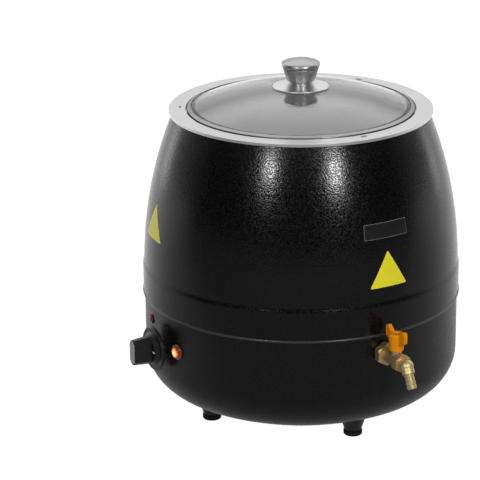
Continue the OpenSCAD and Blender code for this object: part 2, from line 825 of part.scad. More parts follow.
module gland_nut() {
    color(black_plastic) round_kettle(gland_angle, 0, gland_z) difference() {
        hex_x(casing_r - sheet_t - 0.9 - gland_nut_t, casing_r - sheet_t - 0.9, gland_thread_d + 5);
        along_x(casing_r - sheet_t - 8, casing_r, gland_thread_d + 2 * fit_gap);
    }
}

// A round lamp: a bezel outside the wall and a barrel behind it, hollow for the lens.
module lamp_body(angle, z, lens_d) {
    color(black_plastic) round_kettle(angle, 0, z) difference() {
        union() {
            along_x(casing_r + 0.2, casing_r + 1.6, lens_d + 2 * bezel_w);
            along_x(casing_r - lamp_depth, casing_r + 0.2, lens_d);
        }
        along_x(casing_r - 5, casing_r + 5, lens_d - 2);
    }
}

// The lens: a short rod with a domed end that stands proud of the bezel.
module lamp_lens(angle, z, lens_d, tint) {
    rod_d = lens_d - 2 - 2 * fit_gap;
    dome = rod_d * 0.22;
    ball_r = (pow(rod_d / 2, 2) + pow(dome, 2)) / (2 * dome);
    tip_x = casing_r + 2.2 + dome;
    color(tint) round_kettle(angle, 0, z) intersection() {
        along_x(casing_r - 5, tip_x, rod_d);
        translate([tip_x - ball_r, 0, 0]) sphere(r = ball_r);
    }
}

module amber_lamp_body() {
    lamp_body(amber_angle, amber_z, amber_d);
}

module amber_lens() {
    lamp_lens(amber_angle, amber_z, amber_d, "orange");
}

module red_lamp_body() {
    lamp_body(red_angle, red_z, red_d);
}

module red_lens() {
    lamp_lens(red_angle, red_z, red_d, "firebrick");
}

module lamp_clips() {
    lamps = [[amber_angle, amber_z, amber_d], [red_angle, red_z, red_d]];
    color(steel) for (l = lamps) round_kettle(l[0], 0, l[1]) difference() {
        along_x(casing_r - 3.2, casing_r - sheet_t - 1.2, l[2] + 5);
        along_x(casing_r - 5, casing_r + 1, l[2] + fit_gap);
    }
}

module spindle() {
    color(steel) round_kettle(dial_angle, 0, dial_z) difference() {
        along_x(thermo_back_x + 8, dial_x + grip_h - 9, spindle_d);
        translate([dial_x + 1, -spindle_d, spindle_d / 2 - 1.4]) cube([grip_h, 2 * spindle_d, spindle_d]);
    }
}

module dial_knob() {
    face_x = dial_x + dial_t;
    hub_x = face_x + 4;
    color(black_plastic) round_kettle(dial_angle, 0, dial_z) difference() {
        union() {
            cone_x(dial_x, dial_x + 1, dial_d - 2, dial_d);
            along_x(dial_x + 1, face_x - 1.2, dial_d);
            cone_x(face_x - 1.2, face_x, dial_d, dial_d - 2.4);
            cone_x(face_x, hub_x, dial_d - 12, grip_len + 1);
            intersection() {
                cone_x(face_x - 1, dial_x + grip_h, grip_len + 4, grip_len);
                hull() {
                    translate([face_x - 1, 0, 0]) grip_outline(grip_w + 3, grip_len + 4, 0.5);
                    translate([dial_x + grip_h - 0.5, 0, 0]) grip_outline(grip_w, grip_len, 0.5);
                }
            }
        }
        along_x(dial_x - 1, dial_x + grip_h - 8.8, spindle_d + 2 * turn_gap);
        translate([dial_x + grip_h - insert_t, 0, 0]) grip_outline(grip_w - 2, grip_len - 2, 2);
    }
}

// A thin plate with cut corners, across local X.
module grip_outline(w, len, t) {
    cut = w * 0.3;
    rotate([90, 0, 90]) linear_extrude(t) polygon([
        [-w / 2, -len / 2 + cut], [-w / 2 + cut, -len / 2], [w / 2 - cut, -len / 2], [w / 2, -len / 2 + cut],
        [w / 2, len / 2 - cut], [w / 2 - cut, len / 2], [-w / 2 + cut, len / 2], [-w / 2, len / 2 - cut]
    ]);
}

module knob_insert() {
    color("gray") round_kettle(dial_angle, dial_x + grip_h - insert_t, dial_z)
        grip_outline(grip_w - 2 - 2 * fit_gap, grip_len - 2 - 2 * fit_gap, insert_t + 0.2);
}

// ---- Pot ----

module inner_pot() {
    ledge_r = recess_r + pot_t;
    color(steel) rotate_extrude() {
        difference() {
            vessel_section(pot_r + pot_t, pot_floor_z - pot_t, pot_corner_r + pot_t, ledge_z);
            vessel_section(pot_r, pot_floor_z, pot_corner_r, ledge_z + 1);
        }
        translate([pot_r, ledge_z - pot_t]) square([ledge_r - pot_r, pot_t]);
        translate([recess_r, ledge_z - pot_t]) square([pot_t, recess_h + pot_t]);
        translate([recess_r, ring_z - pot_t]) square([ring_r - recess_r, pot_t]);
        translate([ring_r - pot_t, ring_z - ring_lip_h]) square([pot_t, ring_lip_h]);
    }
}

// ---- Lid ----

// A spherical cap of the lid's dome, grown by t, clipped to the lid's edge.
module dome_section(t) {
    half = asin(glass_r / dome_r);
    polygon(concat(arc(0, glass_edge_z + dome_h - dome_r, dome_r + t, 90 - half, 90, 20), [[0, glass_edge_z]]));
}

module lid_glass() {
    color("lightblue", 0.4) difference() {
        intersection() {
            rotate_extrude() difference() {
                dome_section(glass_t);
                dome_section(0);
            }
            cylinder(r = glass_r - fit_gap, h = glass_top_z + 1);
        }
        translate([0, 0, glass_edge_z]) cylinder(d = lid_screw_d + 3, h = dome_h * 2);
    }
}

// Height of the glass's upper surface at a radius.
function glass_z(r) = glass_edge_z + dome_h - dome_r + sqrt(pow(dome_r + glass_t, 2) - pow(r, 2));

// A steel channel wrapped round the edge of the glass, its upper lip following the dome.
module lid_band() {
    lip_r = lid_r - lid_band_w;
    edge_z = glass_z(glass_r) + glass_gap;
    lip_z = glass_z(lip_r) + glass_gap;
    color(steel) rotate_extrude() polygon([
        [lip_r, lid_z], [lid_r, lid_z], [lid_r, edge_z + lid_band_t / 2], [glass_r, edge_z + lid_band_t],
        [lip_r, lip_z + lid_band_t], [lip_r, lip_z], [glass_r, edge_z],
        [glass_r, glass_edge_z], [lip_r, glass_edge_z]
    ]);
}

module glass_washer() {
    color(rubber) difference() {
        translate([0, 0, glass_top_z - glass_t - 2]) cylinder(d = 20, h = 1.8);
        translate([0, 0, glass_edge_z]) cylinder(d = lid_screw_d + fit_gap, h = dome_h * 2);
    }
}

module escutcheon() {
    r = escutcheon_d / 2;
    color(steel) rotate_extrude() polygon([
        [lid_screw_d / 2 + fit_gap, glass_top_z + 0.2], [10, glass_top_z + 0.2], [r - 1, glass_top_z - escutcheon_drop],
        [r, glass_top_z - escutcheon_drop + 0.2], [r - 0.4, glass_top_z - escutcheon_drop + 1], [12, knob_z],
        [lid_screw_d / 2 + fit_gap, knob_z]
    ]);
}

module knob_neck() {
    color(steel) difference() {
        translate([0, 0, knob_z]) cylinder(d = neck_d, h = neck_h - 1);
        translate([0, 0, knob_z - 1]) cylinder(d = lid_screw_d + fit_gap, h = neck_h + 2);
    }
}

module knob_cone() {
    color(steel) difference() {
        union() {
            translate([0, 0, cone_z - 1]) cylinder(d = neck_d - 5, h = 1);
            translate([0, 0, cone_z]) cylinder(d1 = cone_foot_d, d2 = cone_top_d, h = cone_h - 1);
        }
        translate([0, 0, cone_z - 2]) cylinder(d = lid_screw_d + fit_gap, h = cone_h - 2);
    }
}

module knob_cap() {
    r = cap_d / 2;
    side_h = cap_h * 0.6;
    crown_h = cap_h - side_h;
    crown_r = (pow(r - 2, 2) + pow(crown_h, 2)) / (2 * crown_h);
    half = asin((r - 2) / crown_r);
    color(steel) rotate_extrude() polygon(concat(
        [[0, cap_z - 1], [cone_top_d / 2 - 1.2, cap_z - 1], [cone_top_d / 2 - 1.2, cap_z], [r - 1.2, cap_z],
            [r - 0.3, cap_z + 1], [r, cap_z + 2.4], [r - 0.4, cap_z + side_h - 1]],
        arc(0, cap_top_z - crown_r, crown_r, 90 - half, 90, 10)));
}

module lid_screw() {
    color(steel) translate([0, 0, glass_top_z - glass_t - 5.4])
        cylinder(d = lid_screw_d, h = cone_z + cone_h - 6 - glass_top_z + glass_t + 5.4);
}

module lid_nut() {
    color(steel) translate([0, 0, glass_top_z - glass_t - 5.2]) hex_nut(8, 3.2, lid_screw_d + fit_gap);
}

upper_casing();
lower_casing();
bottom_cover();
cover_screws();
water_bath();
tie_studs();
tie_nuts();
foot_stems();
foot_pads();
foot_screws();
drain_stub();
tap_gasket();
tap_nut();
tap_body();
tap_seats();
hose_tail();
tap_ball();
tap_stem();
tap_handle();
handle_screw();
heater_plate();
heating_element();
heater_clamp();
heater_nut();
thermostat_body();
thermostat_bracket();
thermostat_nut();
capillary();
sensor_bulb();
bulb_clip();
thermal_cutout();
terminal_block();
earth_stud();
cable_gland();
gland_nut();
amber_lamp_body();
amber_lens();
red_lamp_body();
red_lens();
lamp_clips();
spindle();
dial_knob();
knob_insert();
inner_pot();
lid_glass();
lid_band();
glass_washer();
escutcheon();
knob_neck();
knob_cone();
knob_cap();
lid_screw();
lid_nut();
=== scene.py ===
"""Looks, light and camera for the soup kettle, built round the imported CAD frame. Lengths are in metres."""

import json
import math

import bmesh
import bpy
from mathutils import Euler, Matrix, Vector
from mathutils.bvhtree import BVHTree


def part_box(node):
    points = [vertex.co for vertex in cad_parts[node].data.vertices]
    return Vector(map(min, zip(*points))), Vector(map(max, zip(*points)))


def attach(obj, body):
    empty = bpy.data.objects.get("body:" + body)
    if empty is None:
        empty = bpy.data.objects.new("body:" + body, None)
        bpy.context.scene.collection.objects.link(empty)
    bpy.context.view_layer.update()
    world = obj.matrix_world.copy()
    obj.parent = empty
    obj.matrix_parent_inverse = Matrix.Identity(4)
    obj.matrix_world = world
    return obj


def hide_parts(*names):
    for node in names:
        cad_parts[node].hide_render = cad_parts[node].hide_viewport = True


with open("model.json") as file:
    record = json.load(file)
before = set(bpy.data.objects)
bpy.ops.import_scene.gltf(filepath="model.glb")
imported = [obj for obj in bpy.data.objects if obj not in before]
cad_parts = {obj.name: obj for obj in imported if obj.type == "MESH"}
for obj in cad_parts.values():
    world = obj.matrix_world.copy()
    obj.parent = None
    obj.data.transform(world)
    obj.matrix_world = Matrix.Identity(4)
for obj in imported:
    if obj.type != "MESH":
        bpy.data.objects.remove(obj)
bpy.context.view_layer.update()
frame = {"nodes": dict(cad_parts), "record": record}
NODES = frame["nodes"]
RECORD = frame["record"]
JOINTS = {joint["name"]: joint for joint in RECORD["behaviour"]["joints"]}
UP = Vector((0, 0, 1))

# ---- Camera: measured on the photograph, whose frame is 480 x 480 pixels ----
IMAGE_PX = 480
FOCAL_PX = 2218.5
AIM_PX = (300.73, 233.83)
AIM_POINT = Vector((0, 0, 0.2))
CAMERA_DISTANCE = 2.5025
CAMERA_ELEVATION = math.radians(19.067)
SENSOR_MM = 36
CLIP_NEAR, CLIP_FAR = 0.1, 60

# Angles round the kettle are in degrees, anticlockwise from +X as seen from above.

# ---- Stickers on the upper casing: each place is an angle and the height of its centre ----
TRIANGLE_SIDE = 0.046
TRIANGLE_HEIGHT = 0.0395
TRIANGLE_CORNER = 0.0012
FRONT_TRIANGLE = (302.2, 0.2125)
LEFT_TRIANGLE = (201.1, 0.2363)
PLATE_PLACE = (302.3, 0.254)
PLATE_WIDTH, PLATE_HEIGHT = 0.0535, 0.0168
PLATE_CORNER = 0.0008
PLATE_EDGE = 0.0007
STICKER_T = 0.00018
PLATE_T = 0.0005
# How far a sheet stands off the casing, and the plate's black sheet off the grey one under it
STICKER_LIFT = 0.00004
PLATE_GAP = 0.00002
# About how wide a step of the grid that a sheet bends along is, and the steps in a rounded corner
SHEET_GRID = 0.003
CORNER_STEPS = 5

# ---- Amber lamp: its axis, the wall it stands on, and its cap as (radius, height over the wall) ----
AMBER_ANGLE, AMBER_Z = 220.4, 0.1026
AMBER_SEAT = 0.1768
AMBER_RADIUS = 0.0086
AMBER_TIP = 0.0053
AMBER_PROFILE = (
    (AMBER_RADIUS, 0.0003),
    (AMBER_RADIUS, 0.0012),
    (0.0081, 0.0019),
    (0.0074, 0.0021),
    (0.0066, 0.0036),
    (0.004, 0.0048),
)
AMBER_SEGMENTS = 48
# Its light from the tip outwards: how far out, as a share of the cap's radius, and the colour there
AMBER_LIGHT = (
    (0.1, (1.0, 0.8, 0.56)),
    (0.45, (0.95, 0.42, 0.13)),
    (0.68, (0.36, 0.075, 0.006)),
    (0.82, (0.03, 0.006, 0.0)),
)
AMBER_STRENGTH = 1.4

# ---- Rolled edge of the upper casing at the seam: an ellipse carried round the kettle ----
SEAM_RADIUS, SEAM_Z = 0.1779, 0.1396
SEAM_HALF_WIDTH, SEAM_HALF_HEIGHT = 0.0012, 0.0016
SEAM_SEGMENTS, SEAM_SECTION = 360, 12

# ---- Nibs on the pot's flange: half sizes along the radius, along the rim and up ----
NIB_ANGLES = (60, 180, 300)
NIB_RADIUS = 0.1335
NIB_HALF_SIZE = (0.0014, 0.0042, 0.0006)
NIB_LIFT = 0.00002
NIB_SEGMENTS, NIB_RINGS = 32, 16

# ---- Index mark on the dial: its place and size outwards, to the side and up from the dial's axis ----
DIAL_OUT_X, DIAL_OUT_Y, _ = JOINTS["dial_turn"]["axis"]
DIAL_TURN = math.atan2(DIAL_OUT_Y, DIAL_OUT_X)
DIAL_Z = JOINTS["dial_turn"]["pos_m"][2]
INDEX_OUT, INDEX_SIDE = 0.1935, 0.0115
INDEX_SIZE = (0.0004, 0.005, 0.0016)
INDEX_BEVEL_SHARE = 0.03

# ---- World: brightness where 1 is white, and the spans of a direction's Y or Z over which it changes ----
FILL_LEVEL = 0.4
ROOM_FRONT = 0.06
ROOM_SPAN_Y = (-0.2, 0.7)
CEILING_GLOW = 2.1
CEILING_SPAN_Z = (0.22, 0.55)
CEILING_FRONT_SHARE = 0.2
CEILING_SPAN_Y = (0.1, 0.5)
UNDER_LID_SHARE = 1.3

# ---- Floor: what mirrors see of its glow fades to a dim share towards the front ----
FLOOR_HALF = 12.0
FLOOR_TONE = 0.3
FLOOR_GLOW = 0.955
FLOOR_FRONT_SHARE = 0.1
FLOOR_SPAN_Y = (-0.4, 0.6)

# ---- Lamps: azimuth and elevation in degrees, width, height, and radiance ----
LAMP_DISTANCE = 2.2
LAMPS = {
    "window_left": (-115.5, 22.5, 0.26, 0.22, 58.0),
    "window_left_glow": (-115, 26, 0.4, 0.36, 2.0),
    "window_right": (-62.5, 21.5, 0.26, 0.22, 92.0),
    "window_right_glow": (-64, 25, 0.4, 0.36, 2.5),
    "overhead_front": (-89, 36, 2.2, 0.1, 3.5),
    "rim_left": (140, 8, 0.5, 1.4, 1.6),
    "rim_right": (36, 8, 0.4, 1.4, 1.2),
}

# ---- Materials: the span that a noise mostly fills, and a radius that is safe to divide by ----
NOISE_SPAN = (0.3, 0.7)
SMALLEST_RADIUS = 1e-5
BEVEL_SAMPLES = 4


# ---- Small helpers ----


def polar(angle, radius, z):
    """The point at an angle in degrees, a radius and a height."""
    turn = math.radians(angle)
    return Vector((radius * math.cos(turn), radius * math.sin(turn), z))


def new_object(name, data):
    """An object made from its data and linked to the scene."""
    thing = bpy.data.objects.new(name, data)
    bpy.context.scene.collection.objects.link(thing)
    return thing


class Nodes:
    """A node tree under construction."""

    def __init__(self, tree):
        self.tree = tree
        tree.nodes.clear()

    def put(self, node, key, value):
        """Sets an input to a value, or links it to another node's output."""
        if isinstance(value, bpy.types.NodeSocket):
            self.tree.links.new(value, node.inputs[key])
        else:
            node.inputs[key].default_value = value

    def add(self, kind, settings=None, **inputs):
        """Adds a node with its properties and its inputs, named, or numbered as in0, in1 and so on."""
        node = self.tree.nodes.new("ShaderNode" + kind)
        for key, value in (settings or {}).items():
            setattr(node, key, value)
        for key, value in inputs.items():
            self.put(node, int(key[2:]) if key.startswith("in") else key.replace("_", " "), value)
        return node

    def calc(self, operation, first, second=0.0):
        """The result of a Math node."""
        return self.add("Math", {"operation": operation}, in0=first, in1=second).outputs[0]

    def scaled(self, value, low, high, from_low=0.0, from_high=1.0):
        """Maps a value from one range to another, clamped at both ends."""
        node = self.add("MapRange", Value=value, From_Min=from_low, From_Max=from_high)
        self.put(node, "To Min", low)
        self.put(node, "To Max", high)
        return node.outputs["Result"]

    def seen_directly(self):
        """1 for the camera's, mirror and glass rays, and 0 for the rays that light a surface."""
        path = self.add("LightPath").outputs
        mirrored = self.calc("MAXIMUM", path["Is Camera Ray"], path["Is Glossy Ray"])
        return self.calc("MAXIMUM", mirrored, path["Is Transmission Ray"])


class Shader(Nodes):
    """A material under construction, with a Principled shader at its end."""

    def __init__(self, name, **fixed):
        self.material = bpy.data.materials.new(name)
        self.material.use_nodes = True
        super().__init__(self.material.node_tree)
        self.bsdf = self.add("BsdfPrincipled", **fixed)
        self.add("OutputMaterial", Surface=self.bsdf.outputs["BSDF"])
        self.coords = self.add("TexCoord").outputs["Object"]

    def noise(self, scale, detail=2.0, roughness=0.5, at=None):
        """Fractal noise over the object's coordinates, or over others."""
        source = self.coords if at is None else at
        node = self.add("TexNoise", Vector=source, Scale=scale, Detail=detail, Roughness=roughness)
        return node.outputs["Fac"]

    def turned_coords(self, fine, round_scale=2.0):
        """Coordinates that change fast out and up and slowly round the Z axis, as lathe marks do."""
        x, y, z = self.add("SeparateXYZ", Vector=self.coords).outputs
        radius = self.calc("SQRT", self.calc("ADD", self.calc("MULTIPLY", x, x), self.calc("MULTIPLY", y, y)))
        safe = self.calc("MAXIMUM", radius, SMALLEST_RADIUS)
        joined = self.add(
            "CombineXYZ",
            X=self.calc("MULTIPLY", self.calc("DIVIDE", x, safe), round_scale),
            Y=self.calc("MULTIPLY", self.calc("DIVIDE", y, safe), round_scale),
            Z=self.calc("MULTIPLY", self.calc("ADD", radius, z), fine),
        )
        return joined.outputs[0]

    def stretched_coords(self, x, y, z):
        """Object coordinates scaled apart along each axis, for brushed grain."""
        return self.add("Mapping", Vector=self.coords, Scale=(x, y, z)).outputs[0]

    def tones(self, factor, first, second):
        """A base colour between two, by a factor."""
        mix = self.add("Mix", {"data_type": "RGBA"}, in0=factor, in6=(*first, 1), in7=(*second, 1))
        self.put(self.bsdf, "Base Color", mix.outputs[2])

    def rough(self, noise, low, high):
        """A roughness between two values, by a noise."""
        self.put(self.bsdf, "Roughness", self.scaled(noise, low, high, *NOISE_SPAN))

    def bump(self, height, distance, strength=1.0, edge_radius=0.0):
        """Surface relief from a height, on top of softly rounded edges."""
        node = self.add("Bump", Height=height, Distance=distance, Strength=strength)
        if edge_radius:
            soft = self.add("Bevel", {"samples": BEVEL_SAMPLES}, Radius=edge_radius)
            self.put(node, "Normal", soft.outputs[0])
        self.put(self.bsdf, "Normal", node.outputs[0])


# ---- Metals ----


def satin_steel():
    """The pot's and the bath's stainless steel, with faint lathe marks."""
    look = Shader("satin_steel", Metallic=1.0)
    marks = look.noise(1, detail=3, roughness=0.65, at=look.turned_coords(1800))
    look.tones(look.noise(14, detail=3), (0.58, 0.58, 0.585), (0.68, 0.68, 0.685))
    look.rough(marks, 0.27, 0.4)
    look.bump(marks, 0.00002, 0.5, edge_radius=0.0004)
    return look.material


def knob_steel(name="knob_steel", dark=0.36, light=0.44):
    """Turned steel: fine lathe marks over a slow change of tone."""
    look = Shader(name, Metallic=1.0)
    marks = look.noise(1, detail=4, roughness=0.7, at=look.turned_coords(2600))
    look.tones(look.noise(40, detail=2), (dark, dark, dark), (light, light, light))
    look.rough(marks, 0.3, 0.42)
    look.bump(marks, 0.00002, 0.5, edge_radius=0.0003)
    return look.material


def zinc_steel():
    """Zinc-plated steel with a fine spangle."""
    look = Shader("zinc_steel", Metallic=1.0)
    spangle = look.add("TexVoronoi", Vector=look.coords, Scale=260.0).outputs["Distance"]
    look.tones(spangle, (0.5, 0.51, 0.53), (0.62, 0.63, 0.65))
    look.rough(look.noise(120), 0.28, 0.42)
    look.bump(look.noise(900), 0.00002, 0.4, edge_radius=0.0002)
    return look.material


def ball_steel():
    """The polished valve ball."""
    look = Shader("ball_steel", Base_Color=(0.75, 0.75, 0.76, 1), Metallic=1.0)
    look.rough(look.noise(300), 0.06, 0.14)
    look.bump(look.noise(2000), 0.00001, 0.3)
    return look.material


def dial_insert():
    """The grey end plate of the dial's grip, brushed along its height."""
    look = Shader("dial_insert", Metallic=0.7)
    lines = look.noise(1, detail=3, roughness=0.6, at=look.stretched_coords(2600, 2600, 60))
    look.tones(lines, (0.26, 0.26, 0.265), (0.38, 0.38, 0.385))
    look.rough(lines, 0.4, 0.55)
    look.bump(lines, 0.00002, 0.4, edge_radius=0.0002)
    return look.material


def brass():
    """Turned brass with patches of tarnish."""
    look = Shader("brass", Metallic=1.0)
    tarnish = look.noise(170, detail=4, roughness=0.6)
    look.tones(look.scaled(tarnish, 0, 1, 0.35, 0.7), (0.68, 0.54, 0.28), (0.5, 0.37, 0.18))
    look.rough(tarnish, 0.42, 0.58)
    look.bump(look.noise(1400, detail=2), 0.00003, 0.5, edge_radius=0.0004)
    return look.material


def copper():
    """The capillary's and the bulb's copper."""
    look = Shader("copper", Metallic=1.0)
    tarnish = look.noise(220, detail=4)
    look.tones(tarnish, (0.75, 0.36, 0.22), (0.5, 0.22, 0.13))
    look.rough(tarnish, 0.25, 0.45)
    look.bump(look.noise(1500), 0.00002, 0.4)
    return look.material


def heater_metal():
    """The heat plate's cast aluminium."""
    look = Shader("heater_metal", Metallic=1.0)
    cast = look.noise(420, detail=4, roughness=0.6)
    look.tones(cast, (0.42, 0.42, 0.43), (0.56, 0.56, 0.57))
    look.rough(cast, 0.42, 0.62)
    look.bump(cast, 0.00012, 0.5, edge_radius=0.0006)
    return look.material


# ---- Coats ----


def powder_coat(name="powder_coat", smooth=0.12, coarse=0.28):
    """Black powder coat: its fine grain scatters the highlights into specks."""
    look = Shader(name, Specular_IOR_Level=0.25)
    grain = look.noise(640, detail=0.0)
    bead = look.scaled(grain, 0, 1, 0.35, 0.68)
    look.tones(bead, (0.0015, 0.0015, 0.0017), (0.0038, 0.0038, 0.0042))
    patch = look.scaled(look.noise(9, detail=3), -0.015, 0.015, *NOISE_SPAN)
    speckle = look.scaled(grain, smooth, coarse, 0.35, 0.65)
    look.put(look.bsdf, "Roughness", look.calc("ADD", speckle, patch))
    look.bump(bead, 0.00005, 0.8, edge_radius=0.0006)
    return look.material


def seam_coat():
    """The rolled edge's coat at the seam: glossier than the powder coat, and lighter grey as a painted
    highlight line.
    """
    look = Shader("seam_coat", Specular_IOR_Level=0.5)
    # painted highlight: a grey far lighter than the powder coat's black, so that the rolled edge shows a
    # light line
    look.tones(look.noise(70, detail=2), (0.012, 0.012, 0.013), (0.03, 0.03, 0.031))
    look.rough(look.noise(160), 0.25, 0.35)
    look.bump(look.noise(600, detail=0.0), 0.00003, 0.6)
    return look.material


# ---- Plastics, rubber and stickers ----


def moulded(name, dark, light, low, high, grain=900, relief=0.00003, **fixed):
    """Moulded plastic or rubber: two close tones, uneven gloss and a fine grain."""
    look = Shader(name, **fixed)
    look.tones(look.noise(45, detail=3), dark, light)
    look.rough(look.noise(160, detail=2), low, high)
    look.bump(look.noise(grain, detail=2), relief, 0.5, edge_radius=0.0005)
    return look.material


def black_plastic():
    """The black plastic of the feet, the dial and the fittings."""
    dark, light = (0.006, 0.006, 0.0065), (0.009, 0.009, 0.0095)
    return moulded("black_plastic", dark, light, 0.3, 0.42, Specular_IOR_Level=0.3)


def dull_red():
    """The unlit red lamp's bezel, moulded in the lens's own dull red."""
    return moulded("dull_red", (0.1, 0.018, 0.016), (0.16, 0.035, 0.03), 0.3, 0.42, Specular_IOR_Level=0.3)


def orange_plastic():
    """The tap handle's orange plastic."""
    dark, light = (0.7, 0.22, 0.001), (0.76, 0.27, 0.001)
    return moulded("orange_plastic", dark, light, 0.34, 0.46, Specular_IOR_Level=0.12)


def thermostat_case():
    """The grey housing of the thermostat's switch."""
    return moulded("thermostat_case", (0.22, 0.22, 0.22), (0.28, 0.28, 0.275), 0.4, 0.55)


def ptfe():
    """The valve seats' white plastic."""
    return moulded("ptfe", (0.8, 0.8, 0.78), (0.87, 0.87, 0.86), 0.4, 0.5)


def terminal():
    """The ivory terminal block."""
    return moulded("terminal", (0.7, 0.68, 0.58), (0.77, 0.75, 0.66), 0.4, 0.55)


def rubber():
    """Black rubber, coarser and duller than the plastic."""
    dark, light = (0.006, 0.006, 0.006), (0.011, 0.011, 0.011)
    return moulded("rubber", dark, light, 0.6, 0.8, grain=700, relief=0.00008, Specular_IOR_Level=0.2)


def sticker_yellow():
    """The plain triangles' yellow."""
    look = Shader("sticker_yellow", Specular_IOR_Level=0.4)
    look.tones(look.noise(60), (0.74, 0.66, 0.012), (0.79, 0.72, 0.02))
    look.rough(look.noise(200), 0.34, 0.46)
    look.bump(look.noise(500), 0.00003, 0.4)
    return look.material


def plate_black():
    """The bare plate's glossy black."""
    look = Shader("plate_black", Specular_IOR_Level=0.5)
    look.tones(look.noise(80), (0.005, 0.005, 0.0055), (0.008, 0.008, 0.0085))
    look.rough(look.noise(150), 0.22, 0.3)
    look.bump(look.noise(600), 0.00002, 0.3)
    return look.material


def plate_grey():
    """The lighter edge round the bare plate."""
    look = Shader("plate_grey")
    look.tones(look.noise(90), (0.09, 0.09, 0.095), (0.13, 0.13, 0.135))
    look.rough(look.noise(180), 0.3, 0.4)
    look.bump(look.noise(700), 0.00002, 0.3)
    return look.material


def index_white():
    """The white line on the dial."""
    look = Shader("index_white")
    look.tones(look.noise(300), (0.7, 0.7, 0.7), (0.8, 0.8, 0.8))
    look.rough(look.noise(500), 0.35, 0.5)
    return look.material


# ---- Glass and lenses ----


def lit_lens():
    """The lit amber lens: a hot centre that falls off through deep amber to a dark brown rim."""
    look = Shader("amber_lens", Roughness=0.12, Transmission_Weight=0.2, IOR=1.49)
    tip = polar(AMBER_ANGLE, AMBER_SEAT + AMBER_TIP, AMBER_Z)
    away = look.add("VectorMath", {"operation": "DISTANCE"}, in0=look.coords, in1=tuple(tip)).outputs["Value"]
    filament = look.noise(330, detail=1)
    spread = look.calc("ADD", look.calc("DIVIDE", away, AMBER_RADIUS), look.scaled(filament, -0.1, 0.3))
    ramp = look.add("ValToRGB", Fac=spread)
    stops = ramp.color_ramp.elements
    for place, _ in AMBER_LIGHT[1:-1]:
        stops.new(place)
    for stop, (place, tone) in zip(stops, AMBER_LIGHT):
        stop.position = place
        stop.color = (*tone, 1)
    look.tones(filament, (0.04, 0.012, 0.003), (0.1, 0.03, 0.006))
    look.put(look.bsdf, "Emission Color", ramp.outputs["Color"])
    look.put(look.bsdf, "Emission Strength", AMBER_STRENGTH)
    return look.material


def dark_lens():
    """The unlit red lens."""
    look = Shader("red_lens", Roughness=0.15, Transmission_Weight=0.1, IOR=1.49)
    look.tones(look.noise(500), (0.28, 0.03, 0.02), (0.42, 0.07, 0.05))
    return look.material


def lid_glass():
    """Clear tempered glass with a slow, faint wave."""
    look = Shader("lid_glass", Base_Color=(0.95, 0.95, 0.95, 1), Transmission_Weight=1.0, IOR=1.5)
    haze = look.scaled(look.noise(18, detail=2), 0.0, 0.03, 0.35, 0.7)
    look.put(look.bsdf, "Roughness", haze)
    look.bump(look.noise(11, detail=1), 0.00008, 0.25)
    return look.material


# ---- The CAD nodes' materials ----

SLOT_MAKERS = {
    "powder_coat": powder_coat,
    "satin_steel": satin_steel,
    "knob_steel": knob_steel,
    "zinc_steel": zinc_steel,
    "black_plastic": black_plastic,
    "dial_insert": dial_insert,
    "thermostat_case": thermostat_case,
    "rubber": rubber,
    "brass": brass,
    "orange_plastic": orange_plastic,
    "ptfe": ptfe,
    "ball_steel": ball_steel,
    "heater_metal": heater_metal,
    "copper": copper,
    "terminal": terminal,
    "amber_lens": lit_lens,
    "red_lens": dark_lens,
    "lid_glass": lid_glass,
}


def dress_cad_nodes():
    """Gives each CAD node its slot's material or a variant of its own, and returns the slots' materials."""
    made = {slot: maker() for slot, maker in SLOT_MAKERS.items()}
    looks = {row["node"]: made[row["material_slot"]] for row in RECORD["subparts"]}
    # Lit and shaded copies of the knob steel: the cap and the lid band get a darker tone as painted shade,
    # the escutcheon a lighter one as painted light.
    looks["knob_cap"] = knob_steel("cap_steel", 0.31, 0.37)
    looks["escutcheon"] = knob_steel("escutcheon_steel", 0.64, 0.72)
    looks["lid_band"] = knob_steel("band_steel", 0.26, 0.32)
    looks["red_lamp_body"] = dull_red()
    looks["lower_casing"] = powder_coat("lower_coat", 0.26, 0.4)
    for node, material in looks.items():
        materials = NODES[node].data.materials
        materials.clear()
        materials.append(material)
    return made


# ---- Building pieces ----


def everything(shape):
    """All the vertices, edges and faces of a shape."""
    return shape.verts[:] + shape.edges[:] + shape.faces[:]


def bridge(shape, first, second):
    """Faces between two closed rings of as many points."""
    for i, vertex in enumerate(first):
        j = (i + 1) % len(first)
        shape.faces.new((vertex, first[j], second[j], second[i]))


def add_piece(name, shape, material, body, smooth=True, thickness=0.0):
    """Turns a shape into a piece that rides on a body. A sheet grows outwards by its thickness."""
    mesh = bpy.data.meshes.new(name)
    shape.to_mesh(mesh)
    shape.free()
    mesh.materials.append(material)
    if smooth:
        mesh.shade_smooth()
    piece = new_object(name, mesh)
    if thickness:
        shell = piece.modifiers.new("thickness", "SOLIDIFY")
        shell.thickness = thickness
        shell.offset = 1
    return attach(piece, body)


# ---- Stickers and the bare plate on the upper casing ----


def rounded(corners, radius):
    """A polygon's outline with its corners rounded: points across and up."""
    points = []
    for i, corner in enumerate(corners):
        middle = Vector(corner)
        before = (Vector(corners[i - 1]) - middle).normalized()
        after = (Vector(corners[(i + 1) % len(corners)]) - middle).normalized()
        half = before.angle(after) / 2
        centre = middle + (before + after).normalized() * radius / math.sin(half)
        start = middle + before * radius / math.tan(half) - centre
        end = middle + after * radius / math.tan(half) - centre
        sweep = start.angle_signed(end)
        for step in range(CORNER_STEPS + 1):
            points.append(centre + Matrix.Rotation(-sweep * step / CORNER_STEPS, 2) @ start)
    return points


